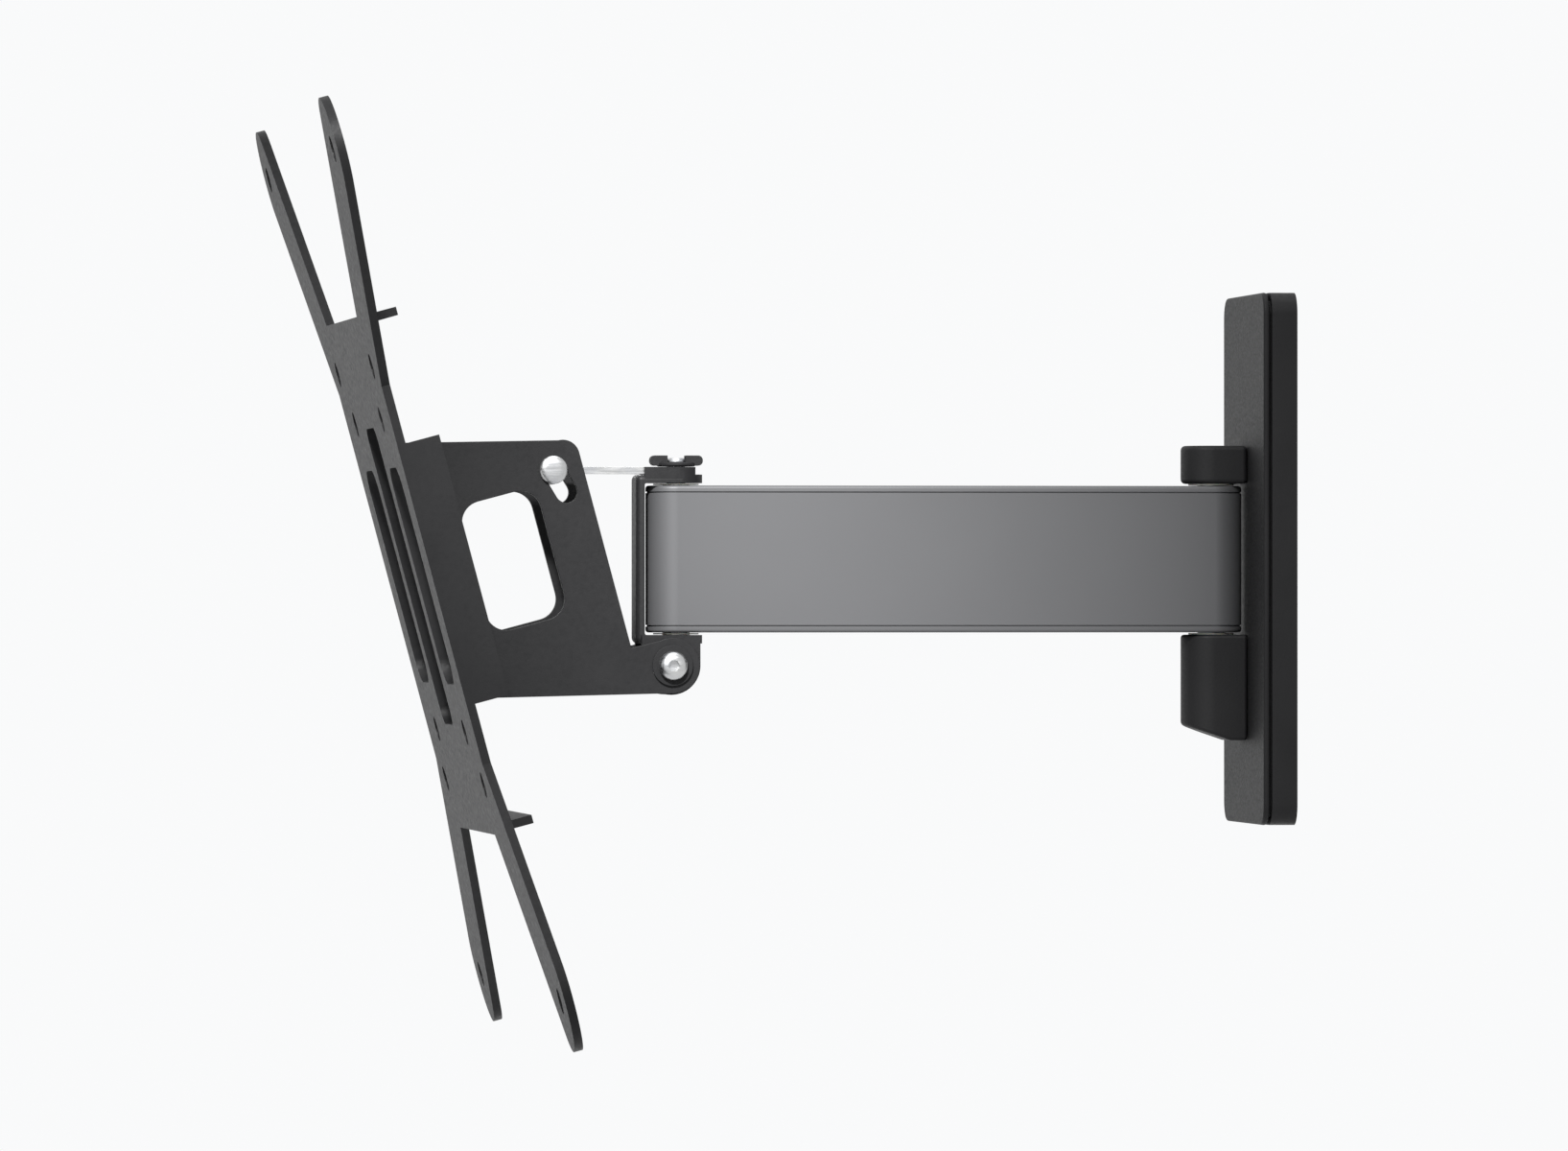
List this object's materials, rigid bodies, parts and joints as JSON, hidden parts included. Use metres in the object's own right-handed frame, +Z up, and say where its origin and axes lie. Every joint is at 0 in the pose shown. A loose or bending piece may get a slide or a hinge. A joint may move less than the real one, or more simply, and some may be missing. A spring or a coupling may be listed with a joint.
{
  "type": "full motion tv wall mount",
  "caption": "Single-arm swivelling and tilting wall mount for a screen: narrow wall plate, hinged box arm, swivel head, tilt bracket and VESA plate.",
  "frame": {"origin": "centre of the wall plate's back face, on the wall", "axes": "+Z up, +Y into the wall, -Y into the room, +X to the right for someone facing the wall"},
  "size_m": [0.224, 0.2353, 0.2169],
  "materials": {
    "black_powder_coat": "fine black powder coat, satin",
    "grey_arm_paint": "satin dark grey metallic paint",
    "black_plastic": "finely grained black moulding",
    "bright_zinc": "bright zinc plate",
    "nylon": "natural nylon"
  },
  "bodies": {
    "wall_side": {"wall_plate": "black_powder_coat", "wall_cover": "black_plastic", "wall_fork": "black_powder_coat", "fork_rivet_1": "bright_zinc", "fork_rivet_2": "bright_zinc", "fork_rivet_3": "bright_zinc", "fork_rivet_4": "bright_zinc", "wall_pivot_bolt": "bright_zinc", "wall_disc_spring": "bright_zinc", "wall_pivot_nut": "bright_zinc", "wall_washer_upper": "nylon", "wall_washer_lower": "nylon", "upper_hinge_cap": "black_plastic", "lower_hinge_cap": "black_plastic"},
    "arm": {"arm_beam": "grey_arm_paint", "cable_cover": "black_plastic", "pivot_tube_rear": "bright_zinc", "bush_rear_upper": "nylon", "bush_rear_lower": "nylon", "pivot_tube_front": "bright_zinc", "bush_front_upper": "nylon", "bush_front_lower": "nylon"},
    "swivel_head": {"swivel_bracket": "black_powder_coat", "head_pivot_bolt": "bright_zinc", "head_washer_upper": "nylon", "head_washer_lower": "nylon", "tilt_bolt": "bright_zinc", "tilt_nut": "bright_zinc", "tilt_spacer": "bright_zinc", "tilt_washer_inner_left": "nylon", "tilt_washer_outer_left": "black_plastic", "tilt_washer_inner_right": "nylon", "tilt_washer_outer_right": "black_plastic"},
    "tilt_link": {"tilt_strap": "bright_zinc", "strap_pin": "bright_zinc", "strap_clip": "bright_zinc"},
    "lock_nut": {"thumb_nut": "black_plastic"},
    "tilting_part": {"tilt_bracket": "black_powder_coat", "screen_plate": "black_powder_coat", "plate_rivet_1": "bright_zinc", "plate_rivet_2": "bright_zinc", "plate_rivet_3": "bright_zinc", "plate_rivet_4": "bright_zinc"}
  },
  "joints": [
    {"name": "wall_swivel", "type": "hinge", "parent": "wall_side", "child": "arm", "pos_m": [0, -0.0158, 0], "axis": [0, 0, 1], "range_deg": [-90, 90]},
    {"name": "head_swivel", "type": "hinge", "parent": "arm", "child": "swivel_head", "pos_m": [0, -0.1433, 0], "axis": [0, 0, 1], "range_deg": [-90, 90]},
    {"name": "tilt", "type": "hinge", "parent": "swivel_head", "child": "tilting_part", "pos_m": [0, -0.1453, -0.02505], "axis": [1, 0, 0], "range_deg": [-15, 0]},
    {"name": "strap_slide", "type": "slide", "parent": "swivel_head", "child": "tilt_link", "axis": [0, 1, 0], "range_m": [0, 0.01454]},
    {"name": "thumb_nut_turn", "type": "hinge", "parent": "swivel_head", "child": "lock_nut", "pos_m": [0, -0.1433, 0.0223], "axis": [0, 0, 1], "range_deg": [0, 360]}
  ],
  "couplings": [
    {"joint": "strap_slide", "follows": "tilt", "m_per_rad": -0.055508}
  ]
}
